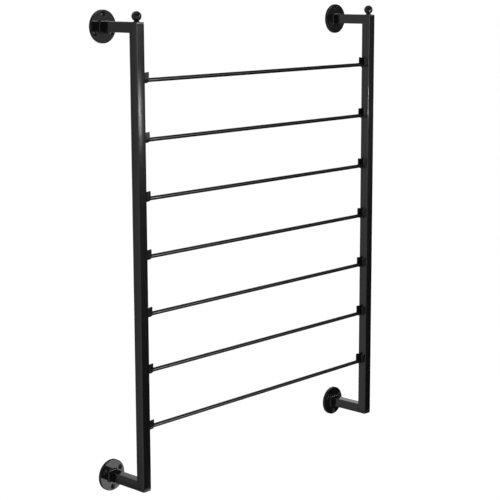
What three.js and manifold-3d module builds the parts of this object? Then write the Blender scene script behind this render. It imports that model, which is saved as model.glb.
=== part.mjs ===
// Wall-mounted towel warmer rack: two C-shaped side frames of square steel
// tube, each on two round wall flanges, with seven loose round rods lying in
// open-topped U cradles between them.
//
// Millimetres. +X runs along the rods to the right, +Y points into the wall,
// +Z is up. The origin is the centre of the wall plane: Y = 0 is the back of
// the flanges, X = 0 is halfway between the side frames and Z = 0 is halfway
// up them.

import * as THREE from 'three';
import { mergeVertices } from 'three/addons/utils/BufferGeometryUtils.js';
import Module from 'manifold-3d';

const wasm = await Module();
wasm.setup();

// ---------------------------------------------------------------- dimensions

const RACK_WIDTH = 714;        // outer face to outer face of the uprights
const RACK_HEIGHT = 910;       // uprights, caps included
const RACK_DEPTH = 108;        // wall to the front face of the uprights

const TUBE = 20;               // square tube, outside
const TUBE_WALL = 1.5;
const TUBE_CORNER = 1.2;       // outside corner radius
const GAP = 0.3;               // between pieces that are welded or pressed together

const TOP_CAP_FLANGE = 2.5;    // visible height of the top end cap
const BOTTOM_CAP_SKIRT = 7;    // visible height of the bottom end cap
const CAP_PLUG = 12;           // plug length inside the tube

const FLANGE_R = 32;
const FLANGE_T = 6;
const FLANGE_EDGE = 1;         // radius of the rounded front edge
const SCREW_CIRCLE_R = 24;
const SCREW_HOLE_R = 2;
const SCREW_SINK_R = 5.5;      // shallow countersink: radius at the face
const SCREW_SINK = 1.7;        // and its depth
const UPPER_SCREW_ANGLES = [90, 210, 330];
const LOWER_SCREW_ANGLES = [30, 150, 270];

const FINIAL_BALL_R = 9.5;
const FINIAL_BALL_Z = 10.6;    // ball centre above the cap
const FINIAL_NECK_R = 4.9;
const FINIAL_FOOT_R = 6.4;
const FINIAL_STUD_R = 3;
const FINIAL_STUD = 9;         // stud length below the foot
const STUD_CLEARANCE = 0.3;

const ROD_COUNT = 7;
const ROD_PITCH = 112.5;
const ROD_TOP_Z = 346.5;       // centre of the highest rod
const ROD_R = 4;
const ROD_END_CLEARANCE = 1.5; // each end to the upright
const ROD_CHAMFER = 0.5;

const CRADLE_STRIP = 1.5;      // thickness of the bent strip
const CRADLE_INNER_R = 7;
const CRADLE_WIDTH = 11.5;     // how far it stands out from the upright
const CRADLE_PRONG = 16;       // prong tips above the rod's centre
const ROD_SEAT = 0.3;          // rod above the cradle's floor

// ------------------------------------------------------------------- helpers

const UPRIGHT_X = RACK_WIDTH / 2 - TUBE / 2;
const UPRIGHT_Y = -RACK_DEPTH + TUBE / 2;
const TOP = RACK_HEIGHT / 2;
const ARM_Z = TOP - TUBE / 2;

const paint = (color, roughness) =>
  new THREE.MeshStandardMaterial({ color, roughness, metalness: 0.15 });
const framePaint = paint(0x111213, 0.22);
const flangePaint = paint(0x131415, 0.16);
const fittingPaint = paint(0x0f1011, 0.28);
const rodPaint = paint(0x121313, 0.2);

const group = new THREE.Group();
group.name = 'towel_warmer_rack';

function place(parent, name, geometry, material, x, y, z) {
  const mesh = new THREE.Mesh(geometry, material);
  mesh.name = name;
  mesh.position.set(x, y, z);
  parent.add(mesh);
  return mesh;
}

// Closed rounded square, centred on the origin.
function roundedSquare(path, size, r, segments) {
  const h = size / 2 - r;
  const centres = [[h, h], [-h, h], [-h, -h], [h, -h]];
  const points = [];
  centres.forEach(([cx, cy], quarter) => {
    for (let i = 0; i <= segments; i++) {
      const a = (quarter + i / segments) * Math.PI / 2;
      points.push(new THREE.Vector2(cx + r * Math.cos(a), cy + r * Math.sin(a)));
    }
  });
  path.setFromPoints(points);
  return path;
}

function extrude(shape, depth) {
  return new THREE.ExtrudeGeometry(shape, { depth, bevelEnabled: false, steps: 1 });
}

// Square tube along +Z, starting at Z = 0.
function squareTube(length) {
  const shape = roundedSquare(new THREE.Shape(), TUBE, TUBE_CORNER, 4);
  shape.holes.push(roundedSquare(new THREE.Path(), TUBE - 2 * TUBE_WALL, 0.6, 2));
  return extrude(shape, length);
}

// Turns a solid built along Z so that it runs along +Y.
function alongY(geometry) {
  const m = new THREE.Matrix4().makeBasis(
    new THREE.Vector3(0, 0, 1), new THREE.Vector3(1, 0, 0), new THREE.Vector3(0, 1, 0));
  return geometry.applyMatrix4(m);
}

// Turns a solid built along Z so that it runs along +X, with its profile's
// x and y on +Y and +Z.
function alongX(geometry) {
  const m = new THREE.Matrix4().makeBasis(
    new THREE.Vector3(0, 1, 0), new THREE.Vector3(0, 0, 1), new THREE.Vector3(1, 0, 0));
  return geometry.applyMatrix4(m);
}

function solid(geometry) {
  const g = geometry.clone();
  g.deleteAttribute('normal');
  g.deleteAttribute('uv');
  const merged = mergeVertices(g, 1e-4);
  return new wasm.Manifold(new wasm.Mesh({
    numProp: 3,
    vertProperties: new Float32Array(merged.attributes.position.array),
    triVerts: new Uint32Array(merged.index.array),
  }));
}

function surface(manifold) {
  const mesh = manifold.getMesh();
  const g = new THREE.BufferGeometry();
  g.setAttribute('position', new THREE.BufferAttribute(new Float32Array(mesh.vertProperties), 3));
  g.setIndex(new THREE.BufferAttribute(new Uint32Array(mesh.triVerts), 1));
  g.computeVertexNormals();
  return g;
}

function lathe(pairs, segments) {
  return new THREE.LatheGeometry(pairs.map(([r, y]) => new THREE.Vector2(r, y)), segments);
}

// A lathe turned from its own Y axis to +Z.
function latheZ(pairs, segments) {
  return lathe(pairs, segments).rotateX(Math.PI / 2);
}

// -------------------------------------------------------------------- pieces

// Wall flange: a disc on its own Y axis, wall face at Y = 0, rounded at the
// front edge, with countersunk screw holes at the given angles in the XZ plane.
function wallFlange(angles) {
  const profile = [[0, -FLANGE_T]];
  const steps = 4;
  for (let i = 0; i <= steps; i++) {
    const a = i / steps * Math.PI / 2;
    profile.push([
      FLANGE_R - FLANGE_EDGE * (1 - Math.sin(a)),
      -FLANGE_T + FLANGE_EDGE * (1 - Math.cos(a)),
    ]);
  }
  profile.push([FLANGE_R, 0], [0, 0]);
  let disc = solid(lathe(profile, 72));
  const cutter = [
    [0, -FLANGE_T - 1], [SCREW_SINK_R + (SCREW_SINK_R - SCREW_HOLE_R) / SCREW_SINK, -FLANGE_T - 1],
    [SCREW_HOLE_R, -FLANGE_T + SCREW_SINK], [SCREW_HOLE_R, 1], [0, 1],
  ];
  for (const degrees of angles) {
    const a = degrees * Math.PI / 180;
    const g = lathe(cutter, 24);
    g.translate(SCREW_CIRCLE_R * Math.cos(a), 0, SCREW_CIRCLE_R * Math.sin(a));
    disc = disc.subtract(solid(g));
  }
  return surface(disc);
}

// End cap: a square head with a smaller plug that enters the tube. The head
// is at 0 <= Z <= head and the plug below it.
function endCap(head, holeRadius) {
  const plugSize = TUBE - 2 * TUBE_WALL - 2 * GAP;
  let cap = solid(extrude(roundedSquare(new THREE.Shape(), TUBE, TUBE_CORNER, 4), head));
  const plug = extrude(roundedSquare(new THREE.Shape(), plugSize, 0.8, 2), CAP_PLUG + 0.5);
  plug.translate(0, 0, -CAP_PLUG);
  cap = cap.add(solid(plug));
  if (holeRadius) {
    const hole = latheZ([
      [0, -CAP_PLUG - 1], [holeRadius, -CAP_PLUG - 1], [holeRadius, head + 1], [0, head + 1],
    ], 24);
    cap = cap.subtract(solid(hole));
  }
  return surface(cap);
}

// Finial: a threaded stud, a flared foot, a neck and a ball. Z = 0 is the
// underside of the foot.
function finial() {
  const profile = [
    [0, -FINIAL_STUD], [FINIAL_STUD_R - 0.6, -FINIAL_STUD], [FINIAL_STUD_R, -FINIAL_STUD + 0.6],
    [FINIAL_STUD_R, 0], [FINIAL_FOOT_R, 0], [FINIAL_FOOT_R, 0.5],
    [FINIAL_FOOT_R - 0.9, 1.0], [FINIAL_NECK_R + 0.35, 1.8],
  ];
  const start = Math.asin(FINIAL_NECK_R / FINIAL_BALL_R);
  const steps = 13;
  for (let i = 0; i < steps; i++) {
    const a = start + (Math.PI - start) * i / steps;
    profile.push([FINIAL_BALL_R * Math.sin(a), FINIAL_BALL_Z - FINIAL_BALL_R * Math.cos(a)]);
  }
  profile.push([0, FINIAL_BALL_Z + FINIAL_BALL_R]);
  return latheZ(profile, 28);
}

// U cradle: a strip bent round a half circle with two straight prongs. Its
// profile's origin is the rod's centre; it runs along +X from X = 0.
function cradle() {
  const floor = -ROD_R - ROD_SEAT;
  const centre = floor + CRADLE_INNER_R;
  const outer = CRADLE_INNER_R + CRADLE_STRIP;
  const steps = 12;
  const points = [new THREE.Vector2(outer, CRADLE_PRONG)];
  points.push(new THREE.Vector2(CRADLE_INNER_R, CRADLE_PRONG));
  for (let i = 0; i <= steps; i++) {
    const a = -Math.PI * i / steps;
    points.push(new THREE.Vector2(CRADLE_INNER_R * Math.cos(a), centre + CRADLE_INNER_R * Math.sin(a)));
  }
  points.push(new THREE.Vector2(-CRADLE_INNER_R, CRADLE_PRONG));
  points.push(new THREE.Vector2(-outer, CRADLE_PRONG));
  for (let i = steps; i >= 0; i--) {
    const a = -Math.PI * i / steps;
    points.push(new THREE.Vector2(outer * Math.cos(a), centre + outer * Math.sin(a)));
  }
  return alongX(extrude(new THREE.Shape(points), CRADLE_WIDTH));
}

// Rod: round bar centred on the origin, along X, with chamfered ends.
function rod() {
  const half = RACK_WIDTH / 2 - TUBE - ROD_END_CLEARANCE;
  return lathe([
    [0, -half], [ROD_R - ROD_CHAMFER, -half], [ROD_R, -half + ROD_CHAMFER],
    [ROD_R, half - ROD_CHAMFER], [ROD_R - ROD_CHAMFER, half], [0, half],
  ], 24).rotateZ(-Math.PI / 2);
}

// ------------------------------------------------------------------ assembly

const tubeBottom = -TOP + BOTTOM_CAP_SKIRT + GAP;
const tubeTop = TOP - TOP_CAP_FLANGE - GAP;
const armFront = -RACK_DEPTH + TUBE + GAP;
const armLength = -FLANGE_T - GAP - armFront;

for (const [side, s] of [['left', -1], ['right', 1]]) {
  const frame = new THREE.Group();
  frame.name = `${side}_side_frame`;
  frame.position.x = s * UPRIGHT_X;
  group.add(frame);

  place(frame, `${side}_upright`, squareTube(tubeTop - tubeBottom), framePaint,
    0, UPRIGHT_Y, tubeBottom);
  place(frame, `${side}_top_cap`, endCap(TOP_CAP_FLANGE, FINIAL_STUD_R + STUD_CLEARANCE),
    fittingPaint, 0, UPRIGHT_Y, TOP - TOP_CAP_FLANGE);
  const bottomCap = place(frame, `${side}_bottom_cap`, endCap(BOTTOM_CAP_SKIRT, 0),
    fittingPaint, 0, UPRIGHT_Y, -TOP + BOTTOM_CAP_SKIRT);
  bottomCap.rotation.x = Math.PI;
  place(frame, `${side}_finial`, finial(), fittingPaint, 0, UPRIGHT_Y, TOP + GAP);

  place(frame, `${side}_upper_arm`, alongY(squareTube(armLength)), framePaint,
    0, armFront, ARM_Z);
  place(frame, `${side}_lower_arm`, alongY(squareTube(armLength)), framePaint,
    0, armFront, -ARM_Z);
  const turn = (angles) => angles.map((a) => (s < 0 ? a : 180 - a));
  place(frame, `${side}_upper_flange`, wallFlange(turn(UPPER_SCREW_ANGLES)), flangePaint,
    0, 0, ARM_Z);
  place(frame, `${side}_lower_flange`, wallFlange(turn(LOWER_SCREW_ANGLES)), flangePaint,
    0, 0, -ARM_Z);

  for (let i = 0; i < ROD_COUNT; i++) {
    const x = s < 0 ? TUBE / 2 + GAP : -TUBE / 2 - GAP - CRADLE_WIDTH;
    place(frame, `${side}_cradle_${i + 1}`, cradle(), fittingPaint,
      x, UPRIGHT_Y, ROD_TOP_Z - i * ROD_PITCH);
  }
}

for (let i = 0; i < ROD_COUNT; i++) {
  place(group, `rod_${i + 1}`, rod(), rodPaint, 0, UPRIGHT_Y, ROD_TOP_Z - i * ROD_PITCH);
}

export default group;
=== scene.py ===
import math

import bmesh
import bpy
from mathutils import Matrix, Vector, noise


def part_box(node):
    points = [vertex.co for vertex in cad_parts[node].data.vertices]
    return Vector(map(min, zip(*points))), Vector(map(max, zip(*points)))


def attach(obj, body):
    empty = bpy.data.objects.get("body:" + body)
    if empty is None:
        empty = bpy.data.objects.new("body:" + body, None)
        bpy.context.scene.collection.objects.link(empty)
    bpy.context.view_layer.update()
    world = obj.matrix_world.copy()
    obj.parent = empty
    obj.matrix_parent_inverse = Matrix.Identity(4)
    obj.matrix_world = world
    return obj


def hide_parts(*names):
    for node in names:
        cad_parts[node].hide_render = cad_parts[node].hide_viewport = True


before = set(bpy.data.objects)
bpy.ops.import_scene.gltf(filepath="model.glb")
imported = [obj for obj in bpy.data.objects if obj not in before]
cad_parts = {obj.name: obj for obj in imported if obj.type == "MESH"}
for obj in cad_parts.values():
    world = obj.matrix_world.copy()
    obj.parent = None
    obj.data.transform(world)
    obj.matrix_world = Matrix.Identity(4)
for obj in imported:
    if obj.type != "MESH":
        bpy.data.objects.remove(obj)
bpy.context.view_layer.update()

SIDES = (("left", -1), ("right", 1))
RODS = 7


def lohi(node):
    """A CAD node's box in millimetres."""
    lo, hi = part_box(node)
    return [v * 1000 for v in lo], [v * 1000 for v in hi]


# ---------------------------------------------------------------- materials

def node(tree, kind, x, y, **settings):
    n = tree.nodes.new(kind)
    n.location = (x, y)
    for key, value in settings.items():
        setattr(n, key, value)
    return n


def gloss_paint(name, color, rough, peel, wave, ior=1.5, wear=0.35, level=0.5):
    """Black stoving enamel on steel: colour and gloss drift a little over the
    piece, fine orange peel, a slow waviness, and thinner, duller paint where
    the mesh's "edge" attribute is high."""
    mat = bpy.data.materials.new(name)
    mat.use_nodes = True
    t = mat.node_tree
    t.nodes.clear()
    out = node(t, "ShaderNodeOutputMaterial", 900, 0)
    bsdf = node(t, "ShaderNodeBsdfPrincipled", 600, 0)
    bsdf.inputs["Metallic"].default_value = 0.0
    bsdf.inputs["IOR"].default_value = ior
    bsdf.inputs["Specular IOR Level"].default_value = level
    t.links.new(bsdf.outputs["BSDF"], out.inputs["Surface"])

    coord = node(t, "ShaderNodeTexCoord", -1300, 0)
    edge = node(t, "ShaderNodeAttribute", -1300, -500, attribute_name="edge")

    # slow drift of colour and gloss
    drift = node(t, "ShaderNodeTexNoise", -1000, 250)
    drift.inputs["Scale"].default_value = 14.0
    drift.inputs["Detail"].default_value = 3.0
    t.links.new(coord.outputs["Object"], drift.inputs["Vector"])
    # fine dust and rubbing
    dust = node(t, "ShaderNodeTexNoise", -1000, 0)
    dust.inputs["Scale"].default_value = 330.0
    dust.inputs["Detail"].default_value = 6.0
    dust.inputs["Roughness"].default_value = 0.7
    t.links.new(coord.outputs["Object"], dust.inputs["Vector"])

    base = node(t, "ShaderNodeMix", -350, 250, data_type="RGBA")
    base.inputs["A"].default_value = (*[c * 0.75 for c in color], 1)
    base.inputs["B"].default_value = (*[c * 1.35 for c in color], 1)
    t.links.new(drift.outputs["Fac"], base.inputs["Factor"])
    edge_amount = node(t, "ShaderNodeMath", -700, -450, operation="MULTIPLY")
    t.links.new(edge.outputs["Fac"], edge_amount.inputs[0])
    t.links.new(dust.outputs["Fac"], edge_amount.inputs[1])
    edge_mix = node(t, "ShaderNodeMath", -520, -450, operation="MULTIPLY")
    t.links.new(edge_amount.outputs[0], edge_mix.inputs[0])
    edge_mix.inputs[1].default_value = wear
    worn = node(t, "ShaderNodeMix", -100, 200, data_type="RGBA")
    worn.inputs["B"].default_value = (0.055, 0.056, 0.06, 1)
    t.links.new(base.outputs["Result"], worn.inputs["A"])
    t.links.new(edge_mix.outputs[0], worn.inputs["Factor"])
    t.links.new(worn.outputs["Result"], bsdf.inputs["Base Color"])

    gloss = node(t, "ShaderNodeMapRange", -700, 0)
    gloss.inputs["From Min"].default_value = 0.3
    gloss.inputs["From Max"].default_value = 0.75
    gloss.inputs["To Min"].default_value = rough * 0.8
    gloss.inputs["To Max"].default_value = rough * 1.3
    t.links.new(drift.outputs["Fac"], gloss.inputs["Value"])
    speck = node(t, "ShaderNodeMapRange", -700, -220)
    speck.inputs["From Min"].default_value = 0.58
    speck.inputs["From Max"].default_value = 0.8
    speck.inputs["To Min"].default_value = 0.0
    speck.inputs["To Max"].default_value = 0.12
    t.links.new(dust.outputs["Fac"], speck.inputs["Value"])
    rough1 = node(t, "ShaderNodeMath", -450, -50, operation="ADD")
    t.links.new(gloss.outputs["Result"], rough1.inputs[0])
    t.links.new(speck.outputs["Result"], rough1.inputs[1])
    rough2 = node(t, "ShaderNodeMath", -200, -80, operation="ADD")
    t.links.new(rough1.outputs[0], rough2.inputs[0])
    edge_rough = node(t, "ShaderNodeMath", -350, -350, operation="MULTIPLY")
    t.links.new(edge_mix.outputs[0], edge_rough.inputs[0])
    edge_rough.inputs[1].default_value = 0.35
    t.links.new(edge_rough.outputs[0], rough2.inputs[1])
    t.links.new(rough2.outputs[0], bsdf.inputs["Roughness"])

    fine = node(t, "ShaderNodeTexNoise", -1000, -750)
    fine.inputs["Scale"].default_value = 620.0
    fine.inputs["Detail"].default_value = 2.0
    t.links.new(coord.outputs["Object"], fine.inputs["Vector"])
    slow = node(t, "ShaderNodeTexNoise", -1000, -1000)
    slow.inputs["Scale"].default_value = 34.0
    slow.inputs["Detail"].default_value = 1.0
    t.links.new(coord.outputs["Object"], slow.inputs["Vector"])
    bump1 = node(t, "ShaderNodeBump", 100, -600)
    bump1.inputs["Strength"].default_value = 1.0
    bump1.inputs["Distance"].default_value = wave
    t.links.new(slow.outputs["Fac"], bump1.inputs["Height"])
    bump2 = node(t, "ShaderNodeBump", 330, -400)
    bump2.inputs["Strength"].default_value = 1.0
    bump2.inputs["Distance"].default_value = peel
    t.links.new(fine.outputs["Fac"], bump2.inputs["Height"])
    t.links.new(bump1.outputs["Normal"], bump2.inputs["Normal"])
    t.links.new(bump2.outputs["Normal"], bsdf.inputs["Normal"])
    return mat


BLACK = (0.0020, 0.0020, 0.0021)
frame_paint = gloss_paint("frame_paint", BLACK, 0.115, 0.000010, 0.00012)
flange_paint = gloss_paint("flange_paint", BLACK, 0.07, 0.000006, 0.00005)
fitting_paint = gloss_paint("fitting_paint", (0.0018, 0.0018, 0.0019), 0.17, 0.000012, 0.00006)
# Darker, duller paint for the flange's rim side and its screw bores: painted shade, standing in for the
# shadow where the rim meets the wall and inside the holes.
rim_and_bore_painted_shade = gloss_paint("rim_and_bore_painted_shade", (0.0016, 0.0016, 0.0017), 0.34, 0.000012, 0.00004, wear=0.1,
                         level=0.2)
cradle_paint = gloss_paint("cradle_paint", (0.0016, 0.0016, 0.0017), 0.12, 0.000014, 0.00005, level=0.42)
rod_paint = gloss_paint("rod_paint", BLACK, 0.12, 0.000008, 0.00005)
weld_paint = gloss_paint("weld_paint", (0.0018, 0.0018, 0.0019), 0.2, 0.000022, 0.00008, wear=0.2)


# ------------------------------------------------------------------- meshes

class Shape:
    """Vertices in millimetres with an "edge" value each, and faces."""

    def __init__(self):
        self.v, self.e, self.f = [], [], []

    def ring(self, points, edge=0.0):
        start = len(self.v)
        for i, p in enumerate(points):
            self.v.append(tuple(p))
            self.e.append(edge[i] if isinstance(edge, (list, tuple)) else edge)
        return list(range(start, start + len(points)))

    def bridge(self, a, b, closed=True):
        n = len(a)
        for i in range(n if closed else n - 1):
            j = (i + 1) % n
            self.f.append((a[i], a[j], b[j], b[i]))

    def loft(self, rings, closed=True):
        for a, b in zip(rings, rings[1:]):
            self.bridge(a, b, closed)

    def cap(self, ring):
        self.f.append(tuple(ring))

    def fan(self, ring, centre, edge=0.0):
        c = len(self.v)
        self.v.append(tuple(centre))
        self.e.append(edge)
        n = len(ring)
        for i in range(n):
            self.f.append((ring[i], ring[(i + 1) % n], c))


def build(name, shape, material, body, replaces=None, sharp=40.0, weighted=True):
    mesh = bpy.data.meshes.new(name)
    mesh.from_pydata([[c * 0.001 for c in p] for p in shape.v], [], shape.f)
    attribute = mesh.attributes.new("edge", "FLOAT", "POINT")
    attribute.data.foreach_set("value", shape.e)
    bm = bmesh.new()
    bm.from_mesh(mesh)
    bmesh.ops.recalc_face_normals(bm, faces=bm.faces)
    bm.to_mesh(mesh)
    bm.free()
    mesh.polygons.foreach_set("use_smooth", [True] * len(mesh.polygons))
    mesh.set_sharp_from_angle(angle=math.radians(sharp))
    mesh.materials.append(material)
    mesh.update()
    obj = bpy.data.objects.new(name, mesh)
    bpy.context.scene.collection.objects.link(obj)
    if weighted:
        mod = obj.modifiers.new("face_normals", "WEIGHTED_NORMAL")
        mod.mode = "FACE_AREA"
        mod.weight = 50
        mod.keep_sharp = True
    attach(obj, body)
    if replaces:
        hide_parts(replaces)
    return obj


CROWN = 0.15  # how far the drawn tube's sides bulge in the middle


def rounded_square(size, r, seg=6, crown=0.0, steps=6):
    """Points round a square with round corners and slightly bulged sides,
    counter-clockwise, with an edge value that is 1 in the middle of each
    corner."""
    h = size / 2 - r
    pts, edge = [], []
    for q, (cx, cy) in enumerate(((h, h), (-h, h), (-h, -h), (h, -h))):
        for i in range(seg + 1):
            a = (q + i / seg) * math.pi / 2
            pts.append((cx + r * math.cos(a), cy + r * math.sin(a)))
            edge.append(math.sin(math.pi * i / seg) ** 2)
        a = (q + 1) * math.pi / 2
        ox, oy = round(math.cos(a)), round(math.sin(a))
        for i in range(1, steps):
            u = 1 - 2 * i / steps
            out = size / 2 + crown * (1 - u * u)
            along = h * u
            pts.append((ox * out + oy * along, oy * out - ox * along))
            edge.append(0.0)
    return pts, edge


TUBE_R = 1.2


def end_curve(b, seg=4):
    """(distance from the end, inset) from the end face to the side. b is a
    radius, or the list itself."""
    if isinstance(b, list):
        return b
    if b <= 0:
        return [(0.0, 0.0)]
    return [(b * (1 - math.cos(math.pi / 2 * i / seg)), b * (1 - math.sin(math.pi / 2 * i / seg)))
            for i in range(seg + 1)]


def bar_stations(length, b0, b1, splits=1, seg=4):
    first = [(d, inset, 1.0 if inset > 0 else 0.0) for d, inset in end_curve(b0, seg)]
    last = [(length - d, inset, 1.0 if inset > 0 else 0.0) for d, inset in reversed(end_curve(b1, seg))]
    middle = []
    a, b = first[-1][0], last[0][0]
    for i in range(1, splits):
        middle.append((a + (b - a) * i / splits, 0.0, 0.0))
    return first + middle + last


def square_bar(shape, axes, origin, length, size, r, b0, b1, wall=None, splits=1, seg=6):
    """A square bar or tube. axes are unit vectors (across, up, along); the
    bar starts at origin, the middle of its first end."""
    ax, ay, az = (Vector(a) for a in axes)
    o = Vector(origin)
    outer = []
    for d, inset, e in bar_stations(length, b0, b1, splits):
        pts, edge = rounded_square(size - 2 * inset, max(r - inset * 0.6, 0.3), seg, CROWN)
        outer.append(shape.ring([o + ax * x + ay * y + az * d for x, y in pts],
                                [max(v, e) for v in edge]))
    shape.loft(outer)
    if wall is None:
        shape.cap(outer[0])
        shape.cap(outer[-1])
    else:
        inner = []
        for d in (length, 0.0):
            pts, _ = rounded_square(size - 2 * wall, 0.6, seg)
            inner.append(shape.ring([o + ax * x + ay * y + az * d for x, y in pts], 0.2))
        shape.bridge(outer[-1], inner[0])
        shape.bridge(inner[0], inner[1])
        shape.bridge(inner[1], outer[0])


def bead(shape, path, leg, wavelength=1.7, bulge=1.35, closed=False, seed=0.0, taper=True):
    """A fillet weld along path, a list of (point, n1, n2): it sits in the
    corner at each point, one leg along n1 and one along n2."""
    n = len(path)
    dist = [0.0]
    for i in range(1, n):
        dist.append(dist[-1] + (Vector(path[i][0]) - Vector(path[i - 1][0])).length)
    total = dist[-1]
    if closed:
        total += (Vector(path[0][0]) - Vector(path[-1][0])).length
        count = max(3, round(total / wavelength))
        wavelength = total / count
    rings = []
    k = 6
    for i, (p, n1, n2) in enumerate(path):
        p, n1, n2 = Vector(p), Vector(n1), Vector(n2)
        phase = dist[i] / wavelength
        ripple = 0.09 * abs(math.sin(math.pi * phase)) - 0.05
        wander = 0.10 * noise.noise(Vector((p.x * 0.35 + seed, p.y * 0.35, p.z * 0.35)))
        l = leg * (1 + ripple + wander)
        if taper and not closed:
            t = min(dist[i], total - dist[i]) / (leg * 1.1)
            l *= max(0.25, min(1.0, math.sqrt(max(t, 0.0))))
        pts = []
        pts.append(p + n1 * l - n2 * 0.3)
        for j in range(k + 1):
            a = math.pi / 2 * j / k
            c, s = math.cos(a) ** (2 / (2 * bulge)), math.sin(a) ** (2 / (2 * bulge))
            pts.append(p + n1 * (l * c) + n2 * (l * s))
        pts.append(p + n2 * l - n1 * 0.3)
        pts.append(p - n1 * 0.3 - n2 * 0.3)
        rings.append(shape.ring(pts, 0.15 + 0.3 * (ripple + 0.05)))
    shape.loft(rings)
    if closed:
        shape.bridge(rings[-1], rings[0])
    else:
        shape.cap(rings[0])
        shape.cap(rings[-1])


def mound(shape, path, half, height, wavelength=1.9, seed=0.0):
    """A dressed butt weld along path, a list of (point, outward normal,
    sideways): a low mound whose foot sinks into both pieces."""
    rings = []
    k = 8
    dist = 0.0
    for i, (p, n, s) in enumerate(path):
        p, n, s = Vector(p), Vector(n), Vector(s)
        if i:
            dist += (p - Vector(path[i - 1][0])).length
        w = half * (1 + 0.10 * noise.noise(Vector((p.x * 0.4 + seed, p.y * 0.4, p.z * 0.4))))
        h = height * (0.85 + 0.25 * abs(math.sin(math.pi * dist / wavelength)))
        pts = []
        for j in range(k + 1):
            u = -1 + 2 * j / k
            pts.append(p + s * (w * u) + n * (h * (1 - u * u) - 0.05))
        pts.append(p + s * (w * 0.8) - n * 0.9)
        pts.append(p - s * (w * 0.8) - n * 0.9)
        rings.append(shape.ring(pts, 0.1))
    shape.loft(rings)
    shape.cap(rings[0])
    shape.cap(rings[-1])


def lathe(shape, origin, axis, side, profile, segs=64, edges=None):
    """Turns (radius, distance along axis) round the axis. Radius 0 at either
    end closes it."""
    o, w, u = Vector(origin), Vector(axis), Vector(side)
    v = w.cross(u)
    rings, first, last = [], None, None
    for i, (r, d) in enumerate(profile):
        e = edges[i] if edges else 0.0
        if r <= 1e-6:
            if i == 0:
                first = (o + w * d, e)
            else:
                last = (o + w * d, e)
            continue
        rings.append(shape.ring([o + w * d + (u * math.cos(a) + v * math.sin(a)) * r
                                 for a in (2 * math.pi * k / segs for k in range(segs))], e))
    shape.loft(rings)
    if first:
        shape.fan(list(reversed(rings[0])), first[0], first[1])
    if last:
        shape.fan(rings[-1], last[0], last[1])


X, Y, Z = Vector((1, 0, 0)), Vector((0, 1, 0)), Vector((0, 0, 1))

# -------------------------------------------------------------- side frames

TUBE = 20.0
WALL = 1.5

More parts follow.
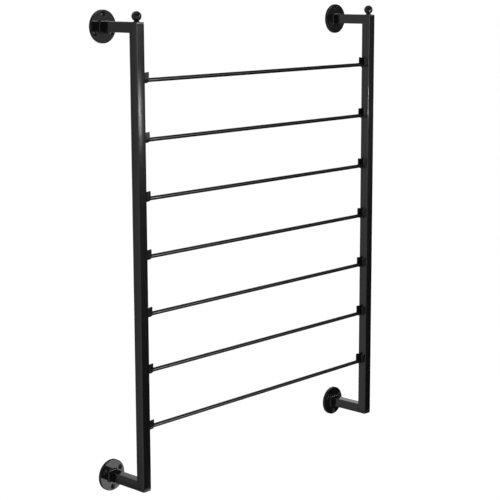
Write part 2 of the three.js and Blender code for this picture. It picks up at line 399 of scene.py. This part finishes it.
for side, s in SIDES:
    ulo, uhi = lohi(f"{side}_upright")
    tlo, thi = lohi(f"{side}_top_cap")
    blo, bhi = lohi(f"{side}_bottom_cap")
    ux = (ulo[0] + uhi[0]) / 2
    uy = (ulo[1] + uhi[1]) / 2
    back = uhi[1]

    # upright: hollow tube with softly dressed ends
    sh = Shape()
    square_bar(sh, (X, Y, Z), (ux, uy, ulo[2]), uhi[2] - ulo[2], TUBE, TUBE_R, 0.45, 0.35,
               wall=WALL, splits=12)
    build(f"{side}_upright_tube", sh, frame_paint, "frame", f"{side}_upright")

    # end caps: a head with eased edges on a plug
    head = thi[2] - uhi[2] - 0.3
    sh = Shape()
    square_bar(sh, (X, Y, Z), (ux, uy, thi[2] - head), head, TUBE, TUBE_R, 0.12,
               [(0.0, 0.6), (0.07, 0.38), (0.2, 0.24), (0.42, 0.165), (2.28, 0.0)])
    square_bar(sh, (X, Y, Z), (ux, uy, tlo[2]), thi[2] - head - tlo[2], 16.4, 0.8, 0.5, 0.0)
    build(f"{side}_top_cap_head", sh, fitting_paint, "frame", f"{side}_top_cap")
    skirt = ulo[2] - blo[2] - 0.3
    sh = Shape()
    square_bar(sh, (X, Y, Z), (ux, uy, blo[2]), skirt, TUBE, TUBE_R,
               [(0.0, 0.9), (0.08, 0.66), (0.25, 0.49), (0.55, 0.38), (5.6, 0.0)], 0.4)
    square_bar(sh, (X, Y, Z), (ux, uy, blo[2] + skirt), bhi[2] - blo[2] - skirt, 16.4, 0.8, 0.0, 0.5)
    build(f"{side}_bottom_cap_head", sh, fitting_paint, "frame",
          f"{side}_bottom_cap")

    # finial: stud, foot, waisted neck and ball in one turned piece
    flo, fhi = lohi(f"{side}_finial")
    top = thi[2]
    ball_r = (fhi[0] - flo[0]) / 2
    ball_z = fhi[2] - ball_r - top
    neck = 4.7
    prof, edges = [], []
    for r, d, e in ((0, flo[2] - top, 0), (2.4, flo[2] - top, 0), (3.0, flo[2] - top + 0.6, 0),
                    (3.0, 0.02, 0), (5.9, 0.02, 0), (6.25, 0.12, 0.7), (6.4, 0.4, 1.0),
                    (6.32, 0.8, 1.0), (6.08, 1.05, 0.6), (5.6, 1.28, 0.2), (5.16, 1.58, 0),
                    (4.88, 1.94, 0), (4.75, 2.3, 0)):
        prof.append((r, d))
        edges.append(e)
    start = math.asin(neck / ball_r)
    for i in range(29):
        a = start + (math.pi - start) * i / 28
        prof.append((ball_r * math.sin(a) if i < 28 else 0.0, ball_z - ball_r * math.cos(a)))
        edges.append(0.0)
    sh = Shape()
    lathe(sh, (ux, uy, top), Z, X, prof, 64, edges)
    build(f"{side}_finial_ball", sh, fitting_paint, "frame", f"{side}_finial",
          sharp=60, weighted=False)

    for level, k in (("upper", 1), ("lower", -1)):
        alo, ahi = lohi(f"{side}_{level}_arm")
        dlo, dhi = lohi(f"{side}_{level}_flange")
        az = (alo[2] + ahi[2]) / 2
        front = dlo[1]

        # arm: hollow tube from the upright's back to the flange
        sh = Shape()
        square_bar(sh, (Z, X, Y), (ux, back, az), front - back, TUBE, TUBE_R, 0.0, 0.0,
                   wall=WALL, splits=3)
        build(f"{side}_{level}_arm_tube", sh, frame_paint, "frame",
              f"{side}_{level}_arm")

        # welds: a dressed seam round the three flush sides, a fillet in the
        # inside corner, and a fillet all round the arm on the flange
        sh = Shape()
        ring, _ = rounded_square(TUBE, TUBE_R, 6, CROWN, 22)
        loop = []
        for px, pz in ring:
            cx = max(-TUBE / 2 + TUBE_R, min(TUBE / 2 - TUBE_R, px))
            cz = max(-TUBE / 2 + TUBE_R, min(TUBE / 2 - TUBE_R, pz))
            nn = Vector((px - cx, 0, pz - cz)).normalized()
            loop.append(((px, pz), nn))
        # three sides only, starting at the open corner on one side
        flush = [((px, pz), nn) for (px, pz), nn in loop if pz * k > -TUBE / 2 + TUBE_R - 0.01]
        flush.sort(key=lambda item: math.atan2(item[0][0], item[0][1] * k))
        mound(sh, [((ux + px, back - 0.2, az + pz), nn, Y) for (px, pz), nn in flush],
              1.9, 0.16, seed=3.1 * s + k)
        bead(sh, [((ux + x, back, az - k * TUBE / 2), Vector((0, 0, -k)), Y)
                  for x in [-9.2 + 18.4 * i / 44 for i in range(45)]],
             0.9, wavelength=1.1, seed=1.7 * s + 5 * k)
        fine = []
        for (px, pz), nn in loop:
            fine.append(((ux + px, front, az + pz), nn, -Y))
        bead(sh, fine, 3.0, closed=True, seed=7.3 * s + 2 * k)
        build(f"{side}_{level}_arm_welds", sh, weld_paint, "frame", sharp=75,
              weighted=False)

        # wall flange: turned disc with an eased rim and countersunk screw holes
        dx, dz = (dlo[0] + dhi[0]) / 2, (dlo[2] + dhi[2]) / 2
        R = (dhi[0] - dlo[0]) / 2
        T = dhi[1] - dlo[1]
        degrees = (90, 210, 330) if k > 0 else (30, 150, 270)
        holes = [(24 * math.cos(math.radians(a)) * (1 if s < 0 else -1), 24 * math.sin(math.radians(a)))
                 for a in degrees]
        bm = bmesh.new()
        layer = bm.verts.layers.float.new("edge")

        def circle(cx, cz, r, y, n, e=0.0):
            out = []
            for i in range(n):
                a = 2 * math.pi * i / n
                vert = bm.verts.new(((dx + cx + r * math.cos(a)) * 0.001, y * 0.001,
                                     (dz + cz + r * math.sin(a)) * 0.001))
                vert[layer] = e
                out.append(vert)
            return out

        def strip(a, b, material=0):
            n = len(a)
            for i in range(n):
                face = bm.faces.new((a[i], a[(i + 1) % n], b[(i + 1) % n], b[i]))
                face.material_index = material

        def loop_edges(ring):
            return [bm.edges.get((ring[i], ring[(i + 1) % len(ring)])) or
                    bm.edges.new((ring[i], ring[(i + 1) % len(ring)])) for i in range(len(ring))]

        rim = []
        b = 1.0
        for i in range(9):
            a = math.pi / 2 * i / 8
            rim.append(circle(0, 0, R - b * (1 - math.sin(a)), dlo[1] + b * (1 - math.cos(a)), 128,
                              math.sin(math.pi * i / 8)))
        rim.append(circle(0, 0, R, dhi[1] - 0.5, 128, 0.3))
        rim.append(circle(0, 0, R - 0.5, dhi[1], 128, 0.3))
        # The back of the rim and its side take the darker, duller paint: painted shade where the flange
        # meets the wall.
        for i, (a, c) in enumerate(zip(rim, rim[1:])):
            strip(a, c, 1 if i > 5 else 0)
        front_loops, back_loops = [rim[0]], [rim[-1]]
        for hx, hz in holes:
            rows = []
            for r, y, e in ((5.72, 0.0, 0.2), (5.58, 0.025, 0.6), (5.42, 0.09, 0.5), (2.2, 1.58, 0.1),
                            (2.05, 1.69, 0.3), (2.0, 1.85, 0.2), (2.0, T - 0.2, 0.0), (2.1, T, 0.2)):
                rows.append(circle(hx, hz, r, dlo[1] + y, 48, e))
            # The straight bores take the darker, duller paint: painted shade inside the screw holes.
            for j, (a, c) in enumerate(zip(rows, rows[1:])):
                strip(a, c, 0 if j < 4 else 1)
            front_loops.append(rows[0])
            back_loops.append(rows[-1])
        for loops in (front_loops, back_loops):
            edges_in = [e for ring in loops for e in loop_edges(ring)]
            bmesh.ops.triangle_fill(bm, edges=edges_in, use_beauty=True, use_dissolve=False)
        bmesh.ops.recalc_face_normals(bm, faces=bm.faces)
        mesh = bpy.data.meshes.new(f"{side}_{level}_flange_disc")
        bm.to_mesh(mesh)
        bm.free()
        mesh.polygons.foreach_set("use_smooth", [True] * len(mesh.polygons))
        mesh.set_sharp_from_angle(angle=math.radians(35))
        mesh.materials.append(flange_paint)
        mesh.materials.append(rim_and_bore_painted_shade)
        obj = bpy.data.objects.new(f"{side}_{level}_flange_disc", mesh)
        bpy.context.scene.collection.objects.link(obj)
        mod = obj.modifiers.new("face_normals", "WEIGHTED_NORMAL")
        mod.mode = "FACE_AREA"
        mod.weight = 50
        mod.keep_sharp = True
        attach(obj, "frame")
        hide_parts(f"{side}_{level}_flange")

    # U cradles: bent strip with eased edges, and the weld at its root
    inner_face = ux - s * TUBE / 2
    for i in range(1, RODS + 1):
        clo, chi = lohi(f"{side}_cradle_{i}")
        rlo, rhi = lohi(f"rod_{i}")
        cy = (clo[1] + chi[1]) / 2
        outer_r = (chi[1] - clo[1]) / 2
        t = 1.5
        mid_r = outer_r - t / 2
        bend_z = clo[2] + outer_r
        tip = chi[2]
        free = clo[0] if s > 0 else chi[0]
        stations = []
        for z in (tip, tip - 0.25, tip - 0.7, tip - 1.4):
            stations.append(((mid_r, z), (1, 0)))
        for j in range(25):
            a = -math.pi * j / 24
            stations.append(((mid_r * math.cos(a), bend_z + mid_r * math.sin(a)),
                             (math.cos(a), math.sin(a))))
        for z in (tip - 1.4, tip - 0.7, tip - 0.25, tip):
            stations.append(((-mid_r, z), (-1, 0)))
        count = len(stations)
        x0, x1 = inner_face, free
        sh = Shape()
        rings = []
        for j, ((py, pz), (ny, nz)) in enumerate(stations):
            d = min(j, count - 1 - j)
            # the two tip corners are rounded off a little
            pull = (1.3, 0.75, 0.28, 0.0)[d] if d < 4 else 0.0
            eased = 0.25
            thin = 0.3 if d == 0 else 0.08 if d == 1 else 0.0
            h = t / 2 - thin
            sx = 1 if x1 > x0 else -1
            xa, xb = x0, x1 - sx * pull
            section = [(xa, -h), (xa, h)]
            for q in range(4):
                a = math.pi / 2 * q / 3
                section.append((xb - sx * eased * (1 - math.sin(a)), h - eased * (1 - math.cos(a))))
            for q in range(4):
                a = math.pi / 2 * q / 3
                section.append((xb - sx * eased * (1 - math.cos(a)), -h + eased * (1 - math.sin(a))))
            values = [0.2, 0.2] + [0.5, 1, 1, 0.5] * 2
            # the strip is cut so that its tips rise a little towards the free side
            cut = (1.0, 0.8, 0.5, 0.2)[d] if d < 4 else 0.0
            rings.append(sh.ring([(x, cy + py + ny * off,
                                   pz + nz * off - cut * (x1 - x) / (x1 - x0))
                                  for x, off in section], values))
        sh.loft(rings)
        sh.cap(rings[0])
        sh.cap(rings[-1])
        build(f"{side}_cradle_{i}_strip", sh, cradle_paint, "frame",
              f"{side}_cradle_{i}")
        sh = Shape()
        path = []
        ox = Vector((-s, 0, 0))
        for z in (6.0, 4.5, 3.0, 1.5):
            path.append(((inner_face, cy + outer_r, bend_z + z), Y, ox))
        for j in range(41):
            a = -math.pi * j / 40
            path.append(((inner_face, cy + outer_r * math.cos(a), bend_z + outer_r * math.sin(a)),
                         Vector((0, math.cos(a), math.sin(a))), ox))
        for z in (1.5, 3.0, 4.5, 6.0):
            path.append(((inner_face, cy - outer_r, bend_z + z), -Y, ox))
        bead(sh, path, 1.15, wavelength=1.3, seed=i * 2.3 + s)
        build(f"{side}_cradle_{i}_weld", sh, weld_paint, "frame", sharp=75,
              weighted=False)

# -------------------------------------------------------------------- rods

for i in range(1, RODS + 1):
    lo, hi = lohi(f"rod_{i}")
    cy, cz = (lo[1] + hi[1]) / 2, (lo[2] + hi[2]) / 2
    r = (hi[2] - lo[2]) / 2
    length = hi[0] - lo[0]
    prof, edges = [(0, 0)], [0]
    for d, inset in end_curve(0.6, 4):
        prof.append((r - inset, d))
        edges.append(0.8 if inset > 0 else 0.2)
    for j in range(1, 16):
        prof.append((r, length * j / 16))
        edges.append(0.0)
    for d, inset in reversed(end_curve(0.6, 4)):
        prof.append((r - inset, length - d))
        edges.append(0.8 if inset > 0 else 0.2)
    prof.append((0, length))
    edges.append(0)
    sh = Shape()
    lathe(sh, (lo[0], cy, cz), X, Y, prof, 48, edges)
    build(f"rod_{i}_bar", sh, rod_paint, f"rod_{i}", f"rod_{i}", sharp=50,
          weighted=False)

# -------------------------------------------------------------------- stage

FLOOR_Z = -1.05

floor_mat = bpy.data.materials.new("floor_paint")
floor_mat.use_nodes = True
ft = floor_mat.node_tree
fb = ft.nodes["Principled BSDF"]
fc = node(ft, "ShaderNodeTexCoord", -900, 0)
fn = node(ft, "ShaderNodeTexNoise", -700, 0)
fn.inputs["Scale"].default_value = 1.2
fn.inputs["Detail"].default_value = 4.0
ft.links.new(fc.outputs["Object"], fn.inputs["Vector"])
fm = node(ft, "ShaderNodeMix", -400, 0, data_type="RGBA")
fm.inputs["A"].default_value = (0.86, 0.86, 0.86, 1)
fm.inputs["B"].default_value = (0.89, 0.89, 0.888, 1)
ft.links.new(fn.outputs["Fac"], fm.inputs["Factor"])
ft.links.new(fm.outputs["Result"], fb.inputs["Base Color"])
fb.inputs["Roughness"].default_value = 0.85
fb.inputs["Specular IOR Level"].default_value = 0.1

floor_mesh = bpy.data.meshes.new("floor")
H = 60.0
floor_mesh.from_pydata([(-H, -H, FLOOR_Z), (H, -H, FLOOR_Z), (H, H, FLOOR_Z), (-H, H, FLOOR_Z)],
                       [], [(0, 1, 2, 3)])
floor_mesh.materials.append(floor_mat)
floor = bpy.data.objects.new("floor", floor_mesh)
bpy.context.scene.collection.objects.link(floor)

floor.visible_glossy = False

# The backdrop and what lights the floor are plain white. What the gloss
# mirrors is the dim room beyond the lamps: a grey wall behind and to the
# left, a tall window low in front and to the right, and a dark floor.
world = bpy.data.worlds.new("studio")
bpy.context.scene.world = world
world.use_nodes = True
wt = world.node_tree
wt.nodes.clear()


def calc(op, a, b=None):
    n = wt.nodes.new("ShaderNodeMath")
    n.operation = op
    for i, v in enumerate((a, b)):
        if v is None:
            continue
        if isinstance(v, (int, float)):
            n.inputs[i].default_value = v
        else:
            wt.links.new(v, n.inputs[i])
    return n.outputs[0]


def ease(v, x0, x1, y0=0.0, y1=1.0):
    """Goes smoothly from y0 at v = x0 to y1 at v = x1."""
    n = wt.nodes.new("ShaderNodeMapRange")
    n.interpolation_type = "SMOOTHSTEP"
    for key, value in (("From Min", min(x0, x1)), ("From Max", max(x0, x1)),
                       ("To Min", y0 if x0 < x1 else y1), ("To Max", y1 if x0 < x1 else y0)):
        n.inputs[key].default_value = value
    wt.links.new(v, n.inputs["Value"])
    return n.outputs["Result"]


def mul(*values):
    out = values[0]
    for v in values[1:]:
        out = calc("MULTIPLY", out, v)
    return out


def add(*values):
    out = values[0]
    for v in values[1:]:
        out = calc("ADD", out, v)
    return out


def between(a, b, t):
    return add(mul(a, calc("SUBTRACT", 1.0, t)), mul(b, t))


way = wt.nodes.new("ShaderNodeTexCoord")
split = wt.nodes.new("ShaderNodeSeparateXYZ")
wt.links.new(way.outputs["Generated"], split.inputs["Vector"])
dx, dy, dz = split.outputs["X"], split.outputs["Y"], split.outputs["Z"]

hx = calc("DIVIDE", dx, calc("SQRT", add(mul(dx, dx), mul(dy, dy))))
front = mul(add(0.07, ease(dz, -0.30, -0.19, 0.0, 0.10), ease(dz, -0.15, -0.115, 0.0, 0.36)),
            ease(hx, 0.70, 0.765, 1.0, 0.22), ease(dx, 0.30, 0.55, 0.30, 1.0),
            ease(dz, 0.0, 0.10, 1.0, 0.25))
near_floor = mul(ease(dz, -0.39, -0.43), ease(dz, -0.54, -0.50), ease(dy, -0.15, -0.35),
                 ease(dx, 0.66, 0.72, 1.0, 0.1), 1.0)
side_lamp = mul(ease(dx, 0.05, 0.15), ease(dx, 0.62, 0.55), ease(dy, 0.0, -0.4),
                add(mul(ease(dz, -0.10, -0.06), ease(dz, 0.0, -0.02), 3.5),
                    mul(ease(dz, -0.056, -0.044), ease(dz, -0.012, -0.024), 3.5)))
left_back = mul(add(ease(hx, -0.60, -0.66, 0.24, 0.45), ease(hx, -0.69, -0.77, 0.0, 0.25)),
                ease(dz, -0.345, -0.325, 0.60, 1.0))
right_back = add(ease(dz, -0.15, 0.08, 0.035, 0.22),
                 mul(ease(dz, 0.20, 0.28), ease(dz, 0.48, 0.40), ease(dx, 0.60, 0.78, 0.4, 1.05)))
back_room = between(right_back, left_back, ease(dx, 0.05, -0.45))
room = between(front, back_room, ease(dy, -0.20, 0.20))
window = mul(calc("EXPONENT", mul(calc("MAXIMUM", calc("SUBTRACT", dx, 0.67), 0.0), -28.6)),
             ease(dz, 0.0, 0.05), ease(dz, 0.30, 0.18), ease(dy, -0.15, -0.45), ease(dx, 0.40, 0.60),
             10.0)
# pale walls to the left, behind and above, and the ceiling
fill = mul(0.6, calc("MAXIMUM", calc("MAXIMUM",
                                     mul(ease(dx, 0.44, 0.34), ease(dy, -0.12, -0.34),
                                         ease(dz, 0.02, 0.22, 1.0, 0.15)),
                                     mul(ease(dx, 0.63, 0.58), ease(dx, 0.0, 0.14),
                                         ease(dy, 0.15, 0.35))),
                     calc("MAXIMUM", mul(ease(dx, 0.83, 0.90),
                                         add(ease(dz, -0.05, 0.04), ease(dz, -0.37, -0.42))),
                          add(ease(dz, 0.76, 0.86), ease(dz, -0.76, -0.86)))))
mirrored = calc("MAXIMUM", add(room, near_floor, side_lamp, window), fill)

studio = wt.nodes.new("ShaderNodeBackground")
wt.links.new(mirrored, studio.inputs["Strength"])
studio.inputs["Color"].default_value = (1.0, 1.0, 1.0, 1)
white = wt.nodes.new("ShaderNodeBackground")
white.inputs["Color"].default_value = (1.0, 1.0, 1.0, 1)
white.inputs["Strength"].default_value = 1.18
ray = wt.nodes.new("ShaderNodeLightPath")
pick = wt.nodes.new("ShaderNodeMixShader")
wt.links.new(ray.outputs["Is Glossy Ray"], pick.inputs["Fac"])
wt.links.new(white.outputs["Background"], pick.inputs[1])
wt.links.new(studio.outputs["Background"], pick.inputs[2])
sky = wt.nodes.new("ShaderNodeOutputWorld")
wt.links.new(pick.outputs["Shader"], sky.inputs["Surface"])

bpy.context.scene.view_settings.view_transform = "Standard"
bpy.context.scene.view_settings.look = "None"
bpy.context.scene.view_settings.exposure = 0.0
bpy.context.scene.view_settings.gamma = 1.0


def softbox(name, location, target, size, power, color=(1, 1, 1)):
    data = bpy.data.lights.new(name, "AREA")
    data.shape = "RECTANGLE"
    data.size, data.size_y = size
    data.energy = power
    data.color = color
    obj = bpy.data.objects.new(name, data)
    obj.location = location
    direction = Vector(target) - Vector(location)
    obj.rotation_euler = direction.to_track_quat("-Z", "Y").to_euler()
    obj.visible_camera = False
    bpy.context.scene.collection.objects.link(obj)
    return obj


softbox("lamp", (1.597, -2.377, 0.022), (-0.347, -0.108, 0.293), (0.05, 0.15), 0.95)
softbox("card", (-0.159, -0.2185, -0.5445), (-0.347, -0.006, -0.445), (0.074, 0.094), 0.048)
softbox("kicker", (0.298, -0.405, 0.236), (1.198, 0.025, 0.236), (0.055, 0.08), 2.6)

# ------------------------------------------------------------------- camera

cam_data = bpy.data.cameras.new("camera")
cam_data.sensor_width = 36.0
cam_data.lens = 102.7977
cam_data.shift_x = 0.0
cam_data.shift_y = -0.05
cam_data.clip_start = 0.05
cam_data.clip_end = 200.0
cam = bpy.data.objects.new("camera", cam_data)
right = Vector((0.678911, -0.734215, -0.002978))
up = Vector((0.126428, 0.112908, 0.985529))
behind = right.cross(up).normalized()
up = behind.cross(right).normalized()
right = up.cross(behind).normalized()
rot = Matrix((right, up, behind)).transposed()
cam.matrix_world = Matrix.Translation((-2.16509, -2.0658, 0.53219)) @ rot.to_4x4()
bpy.context.scene.collection.objects.link(cam)
bpy.context.scene.camera = cam
